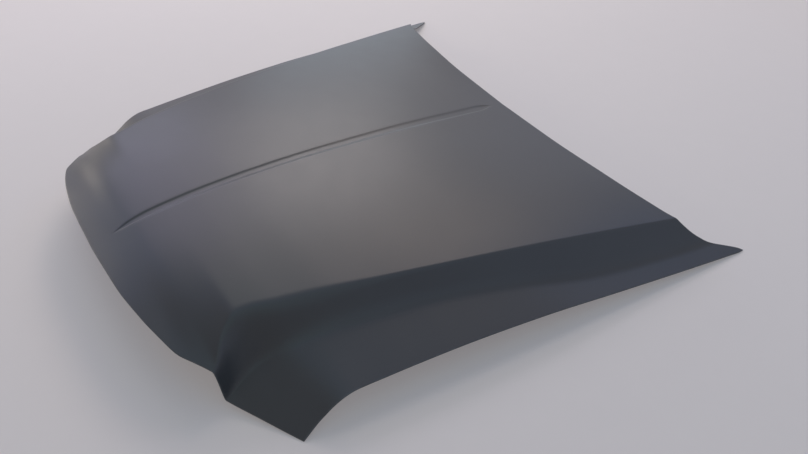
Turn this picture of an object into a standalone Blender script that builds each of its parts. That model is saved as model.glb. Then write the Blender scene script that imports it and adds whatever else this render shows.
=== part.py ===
# Car bonnet: a pressed outer skin hemmed over a pressed inner frame, with the plates and
# weld nuts that its hinges and latch bolt to.
# Metres. -Y is the front of the car, +X its left side, +Z up. It stands on its four corners.

import math

import bpy
from mathutils import Vector

# Sheets and their hem
SKIN_SHEET = 0.0008
FRAME_SHEET = 0.0007
GAP = 0.0003
HEM_GAP = 0.0005
HEM_DEPTH = 2 * SKIN_SHEET + FRAME_SHEET + 2 * HEM_GAP
HEM_REACH = 0.7
FOLD = 0.0016

# Plan of the bonnet, as (across, along) or (along, across) from its middle
NOSE = -0.681
REAR = 0.462
NOSE_BOW = 0.29
REAR_BOW = 0.20
FRONT_EDGE = ((0, -0.682), (0.15, -0.6775), (0.25, -0.665), (0.325, -0.6474), (0.362, -0.6349),
              (0.392, -0.6141), (0.414, -0.598), (0.430, -0.587), (0.442, -0.5802),
              (0.50, -0.5450), (0.600, -0.488))
REAR_EDGE = ((0, 0.463), (0.20, 0.470), (0.40, 0.496), (0.52, 0.5235), (0.583, 0.546),
             (0.605, 0.565), (0.629, 0.592), (0.642, 0.607), (0.661, 0.635), (0.676, 0.657),
             (0.690, 0.675), (0.699, 0.682))
SIDE_X = ((-0.488, 0.600), (-0.44, 0.594), (-0.37, 0.594), (-0.29, 0.5995), (0.55, 0.6868),
          (0.64, 0.696), (0.667, 0.6985), (0.682, 0.697))
CREASE_X = ((-0.70, 0.475), (-0.62, 0.445), (-0.583, 0.4301), (-0.56, 0.4124),
            (-0.54, 0.3951), (-0.50, 0.3779), (-0.42, 0.3955), (-0.36, 0.4072), (0.70, 0.6135))
TOE_X = ((-0.62, 0.452), (-0.578, 0.441), (-0.50, 0.424), (-0.42, 0.440), (-0.30, 0.462),
         (-0.10, 0.497), (0.08, 0.541), (0.27, 0.590), (0.45, 0.617), (0.70, 0.645))

# Heights along the bonnet
CENTRE_Z = ((-0.70, 0.147), (-0.626, 0.175), (-0.573, 0.1905), (-0.50, 0.1995), (-0.42, 0.2040),
            (-0.34, 0.2050), (-0.25, 0.2030), (-0.15, 0.1982), (-0.04, 0.1895), (0.08, 0.1785),
            (0.20, 0.1640), (0.30, 0.1500), (0.42, 0.1330), (0.70, 0.078))
CREASE_Z = ((-0.70, 0.055), (-0.62, 0.076), (-0.583, 0.0927), (-0.56, 0.1182),
            (-0.54, 0.1395), (-0.50, 0.1663), (-0.42, 0.172), (-0.34, 0.1725), (-0.20, 0.1665),
            (-0.04, 0.1545), (0.15, 0.136), (0.345, 0.112), (0.545, 0.085), (0.70, 0.062))
TOE_Z = ((-0.62, 0.010), (-0.578, 0.031), (-0.50, 0.078), (-0.42, 0.110), (-0.33, 0.119),
         (-0.17, 0.1136), (-0.06, 0.106), (0.08, 0.090), (0.27, 0.0603), (0.45, 0.043),
         (0.60, 0.031), (0.70, 0.023))
SIDE_Z = ((-0.60, 0.069), (-0.29, 0.0705), (-0.15, 0.0690), (0.09, 0.0575), (0.28, 0.0395),
          (0.50, 0.0190), (0.68, 0.003))
CORNER_Y = -0.488
CORNER_Z = 0.0025
CORNER_DROP = 0.71
CORNER_SOFT = 0.024
CROWN = ((-0.68, 3.5), (-0.62, 2.9), (-0.57, 3.3), (-0.50, 3.1), (-0.40, 2.6), (0, 2.5),
         (0.50, 3.7))
CREASE_SOFT = ((-0.60, 0.050), (-0.40, 0.026), (-0.15, 0.007), (0.10, 0.004), (0.60, 0.004))
TOE_SOFT = ((-0.60, 0.010), (-0.50, 0.016), (-0.40, 0.022), (0, 0.018), (0.60, 0.022))

# Groove pressed along the middle
GROOVE_FRONT = -0.626
GROOVE_REAR = 0.422
GROOVE_HALF = 0.0115
GROOVE_SPREAD = 0.0040
GROOVE_TAPER = 0.085
GROOVE_END = 0.050
GROOVE_DEPTH = 0.0024

# Inner frame
PAN_DROP = 0.021
LAND_DROP = 0.0040
PAN_CLEAR = 0.010
RIB_FRONT = 0.085
RIB_REAR = 0.42
RIB_FLOOR = 0.014
RIB_TOP = 0.022
RIB_EDGE = 0.034

# Widths of the bands beside the groove, the crease, the toe and the side
GROOVE_STRIP = 0.004
BEND_REAR = 0.004
BEND_GROWTH = 0.013
PAN_MARGIN = 0.026
PAN_WALL = 0.014
TOE_IN = 0.011
TOE_OUT = 0.013
SIDE_FLOOR = 0.026
SIDE_TOP = 0.014
SIDE_INSET = 0.004

# Hinge and latch fixings
HINGE_PAD_Z = 0.086
LATCH_PAD_Z = 0.147
PLATE_SHEET = 0.0020
BOLT_HOLE = 0.0090
NUT_ACROSS = 0.0140
NUT_HEIGHT = 0.0065
NUT_BORE = 0.0080
HINGE_BOLT_SPAN = 0.042
LATCH_BOLT_SPAN = 0.054
LATCH_HOLE = 0.020
LATCH_PLATE_WIDTH = 0.110
LATCH_PLATE_DEPTH = 0.028
LATCH_PLATE_CORNER = 0.003
CUT_REACH = 0.015

# Rows from nose to rear, as fractions of the way
ROWS = (0, 0.0035, 0.0122, 0.023, 0.043, 0.060, 0.074, 0.088, 0.102, 0.117, 0.165, 0.22,
        0.28, 0.34, 0.40, 0.452, 0.468, 0.512, 0.528, 0.58, 0.64, 0.70, 0.76, 0.822, 0.838,
        0.895, 0.935, 0.976, 0.9872, 0.9965, 1)
FRONT_PAN = (3, 8)
CROSS_RIB = (16, 17)
REAR_PAN = (24, 27)
OPENING_ROWS = ((9, 15), (18, 23))
RELIEF = ("crest_2", "toe_out")
HINGE_PAD_ROWS = (25, 26)
LATCH_PAD_ROWS = (4, 6)

# Columns from the middle to the side, by what stands there
COLUMNS = ("middle", "groove_wall", "groove_edge", "inside",
           "rib_edge_in", "rib_top_in", "rib_floor_in", "rib_floor_out", "rib_top_out",
           "rib_edge_out", "outside_1", "outside_2", "pan_edge", "pan_floor",
           "crest_2", "crest_1", "crease", "flank_1", "flank_2", "toe_in", "toe", "toe_out",
           "flange", "side_floor", "side_top", "side_inset", "side")


def curve(points):
    """A smooth curve through (station, value) points that never swings past them."""
    stations = [p[0] for p in points]
    values = [p[1] for p in points]
    steps = [b - a for a, b in zip(stations, stations[1:])]
    rises = [(b - a) / h for a, b, h in zip(values, values[1:], steps)]
    slopes = [rises[0]]
    for i in range(1, len(rises)):
        before, after = rises[i - 1], rises[i]
        if before * after <= 0:
            slopes.append(0.0)
            continue
        w1 = 2 * steps[i] + steps[i - 1]
        w2 = steps[i] + 2 * steps[i - 1]
        slopes.append((w1 + w2) / (w1 / before + w2 / after))
    slopes.append(rises[-1])

    def at(s):
        if s <= stations[0]:
            return values[0] + slopes[0] * (s - stations[0])
        if s >= stations[-1]:
            return values[-1] + slopes[-1] * (s - stations[-1])
        i = max(j for j in range(len(steps)) if stations[j] <= s)
        h = steps[i]
        t = (s - stations[i]) / h
        hermite = (2 * t**3 - 3 * t**2 + 1) * values[i] + (t**3 - 2 * t**2 + t) * h * slopes[i]
        return hermite + (3 * t**2 - 2 * t**3) * values[i + 1] + (t**3 - t**2) * h * slopes[i + 1]

    return at


front_edge, rear_edge = curve(FRONT_EDGE), curve(REAR_EDGE)
side_x, crease_x, toe_x = curve(SIDE_X), curve(CREASE_X), curve(TOE_X)
centre_z, crease_z, toe_z = curve(CENTRE_Z), curve(CREASE_Z), curve(TOE_Z)
side_rise, crown = curve(SIDE_Z), curve(CROWN)
crease_soft, toe_soft = curve(CREASE_SOFT), curve(TOE_SOFT)


def lower(a, b, soft):
    """The lower of two heights, rounded over where they cross."""
    h = max(soft - abs(a - b), 0.0) / soft
    return min(a, b) - h * h * soft / 4


def higher(a, b, soft):
    """The higher of two heights, filled in where they cross."""
    return -lower(-a, -b, soft)


def side_z(y):
    """The side edge, bent down at the front corner."""
    return lower(side_rise(y), CORNER_Z + CORNER_DROP * (y - CORNER_Y), CORNER_SOFT)


def groove_half(y):
    """Half the groove's width: it opens from a point at the front and ends short at the rear."""
    ahead = min(max((y - GROOVE_FRONT) / GROOVE_TAPER, 0.0), 1.0)
    behind = min(max((GROOVE_REAR - y) / GROOVE_END, 0.0), 1.0)
    ends = math.sin(ahead * math.pi / 2) * math.sin(behind * math.pi / 2)
    return (GROOVE_HALF + GROOVE_SPREAD * (y - GROOVE_FRONT)) * ends ** 0.7


def height(x, y, grooved=True):
    """Outer face of the skin above the ground plane."""
    xk, zk = crease_x(y), crease_z(y) + crease_soft(y) / 4
    xt, zt = toe_x(y), toe_z(y) - toe_soft(y) / 4
    xs, zs = side_x(y), side_z(y)
    top = centre_z(y) - (centre_z(y) - zk) * (x / xk) ** crown(y)
    flank = zk + (zt - zk) * (x - xk) / (xt - xk)
    flange = zt + (zs - zt) * (x - xt) / (xs - xt)
    z = lower(top, higher(flank, flange, toe_soft(y)), crease_soft(y))
    half = groove_half(y)
    if grooved and x < half:
        z -= GROOVE_DEPTH * min(half / GROOVE_HALF, 1.0) * (1 - (x / half) ** 4) ** 2
    return z


def normal(x, y):
    """Upward normal of the outer face, groove left out."""
    e = 0.0004
    near = max(x - e, 0.0)
    along_x = (height(x + e, y, False) - height(near, y, False)) / (x + e - near)
    along_y = (height(x, y + e, False) - height(x, y - e, False)) / (2 * e)
    if x == 0:
        along_x = 0.0
    return Vector((-along_x, -along_y, 1)).normalized()


def plan_y(g, x):
    """Where a row crosses the distance x from the middle."""
    ahead = NOSE + NOSE_BOW * x * x
    behind = REAR + REAR_BOW * x * x
    y = ahead + (behind - ahead) * g
    return y + (front_edge(x) - ahead) * (1 - g) ** 3 + (rear_edge(x) - behind) * g**3


def meet(line, g):
    """Where a row crosses one of the lines that run along the bonnet."""
    x = 0.5
    for _ in range(30):
        x = line(plan_y(g, x))
    return x


def column_places(g):
    """Distances from the middle of every column on a row."""
    k, t, s = meet(crease_x, g), meet(toe_x, g), meet(side_x, g)
    w = BEND_REAR + BEND_GROWTH * max(0.0, 1 - g / 0.55)
    r = RIB_FRONT + (RIB_REAR - RIB_FRONT) * g
    b = max(groove_half(plan_y(g, 0)), GROOVE_STRIP)
    f = min(0.6 * w, 0.28 * (t - k))
    pan = k - 2 * w - PAN_MARGIN
    return (0, 0.65 * b, b, (b + r - RIB_EDGE) / 2,
            r - RIB_EDGE, r - RIB_TOP, r - RIB_FLOOR, r + RIB_FLOOR, r + RIB_TOP,
            r + RIB_EDGE, 0.6 * (r + RIB_EDGE) + 0.4 * pan, 0.25 * (r + RIB_EDGE) + 0.75 * pan,
            pan, pan + PAN_WALL,
            k - 2 * w, k - w, k, k + f, k + 2 * f, t - min(TOE_IN, 0.25 * (t - k)), t,
            t + TOE_OUT, (t + TOE_OUT + s - SIDE_FLOOR) / 2, s - SIDE_FLOOR, s - SIDE_TOP,
            s - SIDE_INSET, s)


plan = [[(x, plan_y(g, x)) for x in column_places(g)] for g in ROWS]
skin_points = [[Vector((x, y, height(x, y))) for x, y in row] for row in plan]
plain_points = [[Vector((x, y, height(x, y, False))) for x, y in row] for row in plan]
normals = [[normal(x, y) for x, y in row] for row in plan]
LAST_ROW = len(ROWS) - 1
SIDE = len(COLUMNS) - 1
AT = {name: i for i, name in enumerate(COLUMNS)}


def outline():
    """Grid places round the open edge of the left half: nose, side, rear."""
    round_edge = [(0, j) for j in range(SIDE + 1)]
    round_edge += [(i, SIDE) for i in range(1, LAST_ROW + 1)]
    return round_edge + [(LAST_ROW, j) for j in range(SIDE - 1, -1, -1)]


def outward(ring, n):
    """Direction out of the panel at a place on its edge, square to the edge."""
    i, j = ring[n]
    face = normals[i][j]
    sides = []
    for a, b in ((n - 1, n), (n, n + 1)):
        if a < 0 or b >= len(ring):
            continue
        (ia, ja), (ib, jb) = ring[a], ring[b]
        along = plain_points[ib][jb] - plain_points[ia][ja]
        sides.append(face.cross(along).normalized() * -1)
    if len(sides) == 1:
        sides[0].x = 0
        return sides[0].normalized()
    both = sides[0] + sides[1]
    return both / (1 + max(sides[0].dot(sides[1]), -0.4))


def return_place(i, j):
    """Inner end of the folded hem, on the facets of the skin."""
    rows = {0: (1, 2), LAST_ROW: (LAST_ROW - 1, LAST_ROW - 2)}.get(i, (i, i))
    reach = SIDE - 1, SIDE - 2
    cols = reach if j >= SIDE - 1 else (j, j)
    near = plain_points[rows[0]][cols[0]]
    far = plain_points[rows[1]][cols[1]]
    face = normals[rows[1]][cols[1]]
    return near.lerp(far, HEM_REACH) - face * HEM_DEPTH


def skin_half():
    """Vertices and faces of the left half of the skin, with its hem."""
    vertices, faces, where = [], [], {}

    def put(key, point):
        if key not in where:
            where[key] = len(vertices)
            vertices.append(point)
        return where[key]

    ring = outline()
    for n, (i, j) in enumerate(ring):
        out, face, edge = outward(ring, n), normals[i][j], plain_points[i][j]
        put(("skin", i, j), edge - out * FOLD)
        put(("fold", i, j), edge - face * HEM_DEPTH / 2)
        put(("under", i, j), edge - out * FOLD - face * HEM_DEPTH)
    for i in range(LAST_ROW):
        for j in range(SIDE):
            corners = ((i, j), (i, j + 1), (i + 1, j + 1), (i + 1, j))
            faces.append([put(("skin", a, b), skin_points[a][b]) for a, b in corners])
    for (ia, ja), (ib, jb) in zip(ring, ring[1:]):
        a, b = return_key(ia, ja), return_key(ib, jb)
        strips = (("skin", ia, ja), ("skin", ib, jb), ("fold", ib, jb), ("fold", ia, ja),
                  ("under", ib, jb), ("under", ia, ja))
        s = [where[key] for key in strips]
        ends = [put(a, return_place(*a[1:])), put(b, return_place(*b[1:]))]
        faces.append([s[1], s[0], s[3], s[2]])
        faces.append([s[2], s[3], s[5], s[4]])
        last = [s[4], s[5], ends[0], ends[1]]
        faces.append(last if ends[0] != ends[1] else last[:3])
    return vertices, faces


def return_key(i, j):
    """The hem's inner corner is shared by every place past it."""
    at_row = 0 if i <= 2 and j == SIDE else i
    at_row = LAST_ROW if i >= LAST_ROW - 2 and j == SIDE else at_row
    at_col = SIDE if j >= SIDE - 2 else j
    return ("return", at_row, at_col)


def drop(i, j):
    """How far the frame is pressed down from the skin at a grid place."""
    name = COLUMNS[j]
    edge_row = min(i, LAST_ROW - i)
    if edge_row <= 2 or j >= AT["side_top"]:
        return 0.0
    rows = FRONT_PAN, CROSS_RIB, REAR_PAN
    pan = any(a <= i <= b for a, b in rows)
    pan = pan or name in ("rib_floor_in", "rib_floor_out") or j >= AT["pan_floor"]
    return PAN_DROP if pan else LAND_DROP


def frame_point(i, j):
    """Upper face of the inner frame at a grid place."""
    base = plain_points[i][j] - normals[i][j] * (SKIN_SHEET + HEM_GAP)
    fall = min(drop(i, j), max(base.z - PAN_CLEAR, 0.0))
    point = base - Vector((0, 0, fall))
    inside = AT["rib_edge_out"] <= j <= AT["pan_edge"]
    if HINGE_PAD_ROWS[0] <= i <= HINGE_PAD_ROWS[1] and inside:
        point.z = HINGE_PAD_Z
    if LATCH_PAD_ROWS[0] <= i <= LATCH_PAD_ROWS[1] and j <= AT["rib_floor_out"]:
        point.z = LATCH_PAD_Z
    return point


def open_cell(i, j):
    """True where the frame is cut away between its ribs."""
    rows = any(a <= i < b for a, b in OPENING_ROWS)
    centre = j < AT["rib_edge_in"]
    side = AT["rib_edge_out"] <= j < AT["pan_edge"]
    return rows and (centre or side)


def frame_half():
    """Vertices and faces of the left half of the inner frame."""
    vertices, faces, where = [], [], {}

    def put(i, j):
        if (i, j) not in where:
            where[i, j] = len(vertices)
            vertices.append(frame_point(i, j))
        return where[i, j]

    corner_cells = {}
    for a, b in OPENING_ROWS:
        spans = ((None, AT["inside"]), (AT["rib_edge_out"], AT["outside_2"]))
        for inner, outer in spans:
            corner_cells[a, outer] = ((0, 0), (0, 1), (1, 1))
            corner_cells[b - 1, outer] = ((0, 1), (1, 1), (1, 0))
            if inner is not None:
                corner_cells[a, inner] = ((0, 0), (0, 1), (1, 0))
                corner_cells[b - 1, inner] = ((0, 0), (1, 1), (1, 0))
    columns = [j for j, name in enumerate(COLUMNS[:-1]) if not name.startswith("groove")]
    for i in range(1, LAST_ROW - 1):
        for j, beyond in zip(columns, columns[1:]):
            quad = ((0, 0), (0, 1), (1, 1), (1, 0))
            if (i, j) in corner_cells:
                quad = corner_cells[i, j]
            elif open_cell(i, j) or i == 1 and AT[RELIEF[0]] <= j < AT[RELIEF[1]]:
                continue
            faces.append([put(i + a, beyond if b else j) for a, b in quad])
    return vertices, faces


collection = bpy.data.collections.new("bonnet")
cutter_collection = bpy.data.collections.new("cutters")
for old in list(bpy.data.objects):
    bpy.data.objects.remove(old, do_unlink=True)
for new in (collection, cutter_collection):
    bpy.context.scene.collection.children.link(new)

half_vertices, half_faces = skin_half()
y_low = min(v.y for v in half_vertices)
y_high = max(v.y for v in half_vertices)
z_low = min(v.z for v in half_vertices)
TO_ORIGIN = Vector((0, -(y_low + y_high) / 2, -z_low))


def material(name, colour, metallic, roughness):
    """A plain Principled material."""
    made = bpy.data.materials.new(name)
    made.use_nodes = True
    shader = made.node_tree.nodes["Principled BSDF"]
    shader.inputs["Base Color"].default_value = (*colour, 1)
    shader.inputs["Metallic"].default_value = metallic
    shader.inputs["Roughness"].default_value = roughness
    return made


def add_object(name, vertices, faces, finish, home=None):
    """One named mesh object, moved to the part's origin."""
    mesh = bpy.data.meshes.new(name)
    mesh.from_pydata([v + TO_ORIGIN for v in vertices], [], faces)
    mesh.update()
    if finish:
        mesh.materials.append(finish)
    made = bpy.data.objects.new(name, mesh)
    (home or collection).objects.link(made)
    return made


def add_sheet(made, thickness):
    """Mirrors a half panel about the middle and gives the sheet its thickness."""
    mirror = made.modifiers.new("mirror", "MIRROR")
    mirror.use_axis = (True, False, False)
    mirror.use_mirror_merge = True
    mirror.use_clip = True
    mirror.merge_threshold = 0.00005
    solid = made.modifiers.new("sheet", "SOLIDIFY")
    solid.thickness = thickness
    solid.offset = -1
    solid.use_even_offset = True
    solid.use_rim = True


def prism(centre, radius, low, high, sides, turn=0.0):
    """Vertices and faces of an upright prism."""
    vertices = []
    for z in (low, high):
        for n in range(sides):
            a = turn + 2 * math.pi * n / sides
            vertices.append(Vector((centre[0] + radius * math.cos(a),
                                    centre[1] + radius * math.sin(a), z)))
    faces = [list(range(sides))[::-1], list(range(sides, 2 * sides))]
    for n in range(sides):
        m = (n + 1) % sides
        faces.append([n, m, sides + m, sides + n])
    return vertices, faces


def cut(made, cutter):
    """Takes a cutter out of a piece."""
    boolean = made.modifiers.new(cutter.name, "BOOLEAN")
    boolean.operation = "DIFFERENCE"
    boolean.solver = "EXACT"
    boolean.object = cutter


def add_cutter(name, centre, diameter, low, high, sides=20):
    """A hidden round cutter."""
    vertices, faces = prism(centre, diameter / 2, low, high, sides)
    made = add_object(name, vertices, faces, None, cutter_collection)
    made.hide_render = True
    made.display_type = "WIRE"
    return made


def add_plate(name, outline_points, low, high, finish):
    """A flat plate with the given outline."""
    count = len(outline_points)
    vertices = [Vector((x, y, z)) for z in (low, high) for x, y in outline_points]
    faces = [list(range(count))[::-1], list(range(count, 2 * count))]
    for n in range(count):
        m = (n + 1) % count
        faces.append([n, m, count + m, count + n])
    return add_object(name, vertices, faces, finish)


def add_nut(name, centre, low, finish):
    """A hexagon weld nut with its bore."""
    outer, _ = prism(centre, NUT_ACROSS / math.sqrt(3), low, low + NUT_HEIGHT, 6, math.pi / 6)
    sides = 18
    bore, _ = prism(centre, NUT_BORE / 2, low, low + NUT_HEIGHT, sides, math.pi / 6)
    faces = []
    for n in range(6):
        m = (n + 1) % 6
        faces.append([n, m, 6 + m, 6 + n])
    start = 12
    for n in range(sides):
        m = (n + 1) % sides
        faces.append([start + m, start + n, start + sides + n, start + sides + m])
    step = sides // 6
    for n in range(6):
        m = (n + 1) % 6
        inner = [start + (n * step + q) % sides for q in range(step + 1)]
        faces.append([m, n] + inner)
        above = [start + sides + (n * step + q) % sides for q in range(step + 1)]
        faces.append([6 + n, 6 + m] + above[::-1])
    return add_object(name, outer + bore, faces, finish)


primer = material("dark_primer", (0.055, 0.060, 0.068), 0.0, 0.42)
inner_primer = material("inner_primer", (0.050, 0.055, 0.062), 0.0, 0.50)
plate_primer = material("plate_primer", (0.050, 0.055, 0.060), 0.0, 0.48)
nut_steel = material("nut_steel", (0.42, 0.41, 0.39), 1.0, 0.38)
mastic = material("mastic", (0.035, 0.034, 0.033), 0.0, 0.80)

# Outer skin
skin = add_object("outer_skin", half_vertices, half_faces, primer)
add_sheet(skin, SKIN_SHEET)

# Inner frame with its bolt holes
frame = add_object("inner_frame", *frame_half(), inner_primer)
add_sheet(frame, FRAME_SHEET)


def hinge_pad(u, v):
    """A place on the left hinge pad, u across it and v along it."""
    i, (near, far) = HINGE_PAD_ROWS[0], (AT["rib_edge_out"], AT["pan_edge"])
    ahead = frame_point(i, near).lerp(frame_point(i, far), u)
    behind = frame_point(i + 1, near).lerp(frame_point(i + 1, far), u)
    return ahead.lerp(behind, v)


# Hinge plates and their nuts, each side
PLATE_CORNERS = ((0.14, 0.10), (0.86, 0.10), (0.92, 0.22), (0.92, 0.78), (0.86, 0.90),
                 (0.14, 0.90), (0.08, 0.78), (0.08, 0.22))
pad_middle = hinge_pad(0.5, 0.5)
pad_along = (hinge_pad(1, 0.5) - hinge_pad(0, 0.5)).normalized() * HINGE_BOLT_SPAN / 2
hinge_bolts = (pad_middle - pad_along, pad_middle + pad_along)
for side, sign in (("left", 1), ("right", -1)):
    low = HINGE_PAD_Z + GAP
    spots = [hinge_pad(u, v) for u, v in PLATE_CORNERS]
    points = [(sign * p.x, p.y) for p in spots][::sign]
    plate = add_plate("hinge_plate_" + side, points, low, low + PLATE_SHEET, plate_primer)
    for end, spot in zip(("inner", "outer"), hinge_bolts):
        name = "hinge_bolt_" + end + "_" + side
        hole = add_cutter(name, (sign * spot.x, spot.y), BOLT_HOLE,
                          HINGE_PAD_Z - CUT_REACH, HINGE_PAD_Z + CUT_REACH)
        cut(frame, hole)
        cut(plate, hole)
        top = low + PLATE_SHEET + GAP
        place = (sign * spot.x, spot.y)
        add_nut("hinge_nut_" + end + "_" + side, place, top, nut_steel)

# Latch plate, its nuts and the hole for the striker
low = LATCH_PAD_Z + GAP
latch_y = plan_y(ROWS[LATCH_PAD_ROWS[0] + 1], 0)
latch_cut = (LATCH_PAD_Z - CUT_REACH, LATCH_PAD_Z + CUT_REACH)
long_x, short_x = LATCH_PLATE_WIDTH / 2, LATCH_PLATE_WIDTH / 2 - LATCH_PLATE_CORNER
long_y, short_y = LATCH_PLATE_DEPTH / 2, LATCH_PLATE_DEPTH / 2 - LATCH_PLATE_CORNER
corners = ((-short_x, -long_y), (short_x, -long_y), (long_x, -short_y), (long_x, short_y),
           (short_x, long_y), (-short_x, long_y), (-long_x, short_y), (-long_x, -short_y))
corners = [(x, latch_y + y) for x, y in corners]
plate = add_plate("latch_plate", corners, low, low + PLATE_SHEET, plate_primer)
striker_hole = add_cutter("striker_hole", (0, latch_y), LATCH_HOLE, *latch_cut)
cut(frame, striker_hole)
cut(plate, striker_hole)
for side, sign in (("right", -1), ("left", 1)):
    spot = (sign * LATCH_BOLT_SPAN / 2, latch_y)
    hole = add_cutter("latch_bolt_" + side, spot, BOLT_HOLE, *latch_cut)
    cut(frame, hole)
    cut(plate, hole)
    add_nut("latch_nut_" + side, spot, low + PLATE_SHEET + GAP, nut_steel)

# Mastic beads between the ribs' lands and the skin
BEAD_ROWS = (("front", 10, 14), ("rear", 19, 22))
BEAD_LANDS = (("inner", "rib_edge_in", "rib_top_in"), ("outer", "rib_top_out", "rib_edge_out"))


def add_bead(name, rows, columns, sign, finish):
    """One bead laid along a land, filling it from the frame up to the skin."""
    vertices = []
    fill = Vector((0, 0, LAND_DROP + HEM_GAP - GAP))
    for i in rows:
        a, b = frame_point(i, columns[0]), frame_point(i, columns[1])
        low_side = [a.lerp(b, 0.2), a.lerp(b, 0.8)]
        corners = [v + Vector((0, 0, GAP)) for v in low_side] + [v + fill for v in low_side[::-1]]
        vertices += [Vector((sign * v.x, v.y, v.z)) for v in corners]
    faces = [[0, 1, 2, 3][::sign]]
    for n in range(0, len(vertices) - 4, 4):
        for k in range(4):
            m = (k + 1) % 4
            faces.append([n + m, n + k, n + 4 + k, n + 4 + m][::sign])
    faces.append([len(vertices) - k for k in (1, 2, 3, 4)][::sign])
    add_object(name, vertices, faces, finish)


for side, sign in (("left", 1), ("right", -1)):
    for place, first, last in BEAD_ROWS:
        for land, near, far in BEAD_LANDS:
            name = "mastic_" + place + "_" + land + "_" + side
            add_bead(name, range(first, last + 1), (AT[near], AT[far]), sign, mastic)
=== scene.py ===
# %% [markdown]
# # A car bonnet in bare primer
#
# The bonnet is two steel pressings. The outer skin is what shows: a gently domed plateau, a
# long crease down each side, a steep flank under the crease, and a flange that runs out to the
# wing. The inner frame stiffens it from below, and the skin's edge is folded round the frame's
# edge in a hem. Here both pressings are built again from the same curves as the solid model,
# with a far finer mesh, so that light runs over them as it does over real sheet metal.
#
# Everything is in metres. -Y is the front of the car, +X its left side, +Z up.

import math

import bmesh
import bpy
import numpy as np
from mathutils import Matrix, Vector


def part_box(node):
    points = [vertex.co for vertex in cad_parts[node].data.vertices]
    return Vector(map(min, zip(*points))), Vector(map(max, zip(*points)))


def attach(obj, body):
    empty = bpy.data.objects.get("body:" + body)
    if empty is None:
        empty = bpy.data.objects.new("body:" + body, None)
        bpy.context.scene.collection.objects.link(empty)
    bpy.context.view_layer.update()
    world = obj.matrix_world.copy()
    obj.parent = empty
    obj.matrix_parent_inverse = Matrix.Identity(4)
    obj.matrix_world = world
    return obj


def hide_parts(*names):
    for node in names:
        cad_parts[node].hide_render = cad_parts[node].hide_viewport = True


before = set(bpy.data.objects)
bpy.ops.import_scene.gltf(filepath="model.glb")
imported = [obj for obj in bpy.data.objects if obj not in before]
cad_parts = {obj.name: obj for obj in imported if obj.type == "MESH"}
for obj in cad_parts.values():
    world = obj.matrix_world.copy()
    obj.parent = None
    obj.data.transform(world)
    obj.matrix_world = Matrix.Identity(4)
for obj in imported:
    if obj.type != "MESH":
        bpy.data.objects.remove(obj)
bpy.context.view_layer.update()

# %% [markdown]
# ## The curves that a pressing is drawn from
#
# A body designer fixes a panel by a few lines: its outline, its crease, the line where the
# flank lands on the flange, and their heights. Each is a short list of stations here. A plain
# spline through stations can swing past them and put a dent in the sheet. A monotone one never
# does, so it is the right kind of curve for a panel that has to look taut.

# %% Stations of the bonnet's lines
SKIN_SHEET = 0.0008
FRAME_SHEET = 0.0007
HEM_GAP = 0.0005
HEM_DEPTH = 2 * SKIN_SHEET + FRAME_SHEET + 2 * HEM_GAP
NOSE, REAR, NOSE_BOW, REAR_BOW = -0.681, 0.462, 0.29, 0.20
FRONT_EDGE = ((0, -0.682), (0.15, -0.6775), (0.25, -0.665), (0.325, -0.6474), (0.362, -0.6349),
              (0.392, -0.6141), (0.414, -0.598), (0.430, -0.587), (0.442, -0.5802),
              (0.50, -0.5450), (0.600, -0.488))
REAR_EDGE = ((0, 0.463), (0.20, 0.470), (0.40, 0.496), (0.52, 0.5235), (0.583, 0.546),
             (0.605, 0.565), (0.629, 0.592), (0.642, 0.607), (0.661, 0.635), (0.676, 0.657),
             (0.690, 0.675), (0.699, 0.682))
SIDE_X = ((-0.488, 0.600), (-0.44, 0.594), (-0.37, 0.594), (-0.29, 0.5995), (0.55, 0.6868),
          (0.64, 0.696), (0.667, 0.6985), (0.682, 0.697))
CREASE_X = ((-0.70, 0.475), (-0.62, 0.445), (-0.583, 0.4301), (-0.56, 0.4124),
            (-0.54, 0.3951), (-0.50, 0.3779), (-0.42, 0.3955), (-0.36, 0.4072), (0.70, 0.6135))
TOE_X = ((-0.62, 0.452), (-0.578, 0.441), (-0.50, 0.424), (-0.42, 0.440), (-0.30, 0.462),
         (-0.10, 0.497), (0.08, 0.541), (0.27, 0.590), (0.45, 0.617), (0.70, 0.645))
CENTRE_Z = ((-0.70, 0.147), (-0.626, 0.175), (-0.573, 0.1905), (-0.50, 0.1995), (-0.42, 0.2040),
            (-0.34, 0.2050), (-0.25, 0.2030), (-0.15, 0.1982), (-0.04, 0.1895), (0.08, 0.1785),
            (0.20, 0.1640), (0.30, 0.1500), (0.42, 0.1330), (0.70, 0.078))
CREASE_Z = ((-0.70, 0.055), (-0.62, 0.076), (-0.583, 0.0927), (-0.56, 0.1182),
            (-0.54, 0.1395), (-0.50, 0.1663), (-0.42, 0.172), (-0.34, 0.1725), (-0.20, 0.1665),
            (-0.04, 0.1545), (0.15, 0.136), (0.345, 0.112), (0.545, 0.085), (0.70, 0.062))
TOE_Z = ((-0.62, 0.010), (-0.578, 0.031), (-0.50, 0.078), (-0.42, 0.110), (-0.33, 0.119),
         (-0.17, 0.1136), (-0.06, 0.106), (0.08, 0.090), (0.27, 0.0603), (0.45, 0.043),
         (0.60, 0.031), (0.70, 0.023))
SIDE_Z = ((-0.60, 0.069), (-0.29, 0.0705), (-0.15, 0.0690), (0.09, 0.0575), (0.28, 0.0395),
          (0.50, 0.0190), (0.68, 0.003))
CORNER_Y, CORNER_Z, CORNER_DROP, CORNER_SOFT = -0.488, 0.0025, 0.71, 0.024
CROWN = ((-0.68, 3.5), (-0.62, 2.9), (-0.57, 3.3), (-0.50, 3.1), (-0.40, 2.6), (0, 2.5),
         (0.50, 3.7))
CREASE_SOFT = ((-0.60, 0.050), (-0.40, 0.026), (-0.15, 0.007), (0.10, 0.004), (0.60, 0.004))
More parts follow.
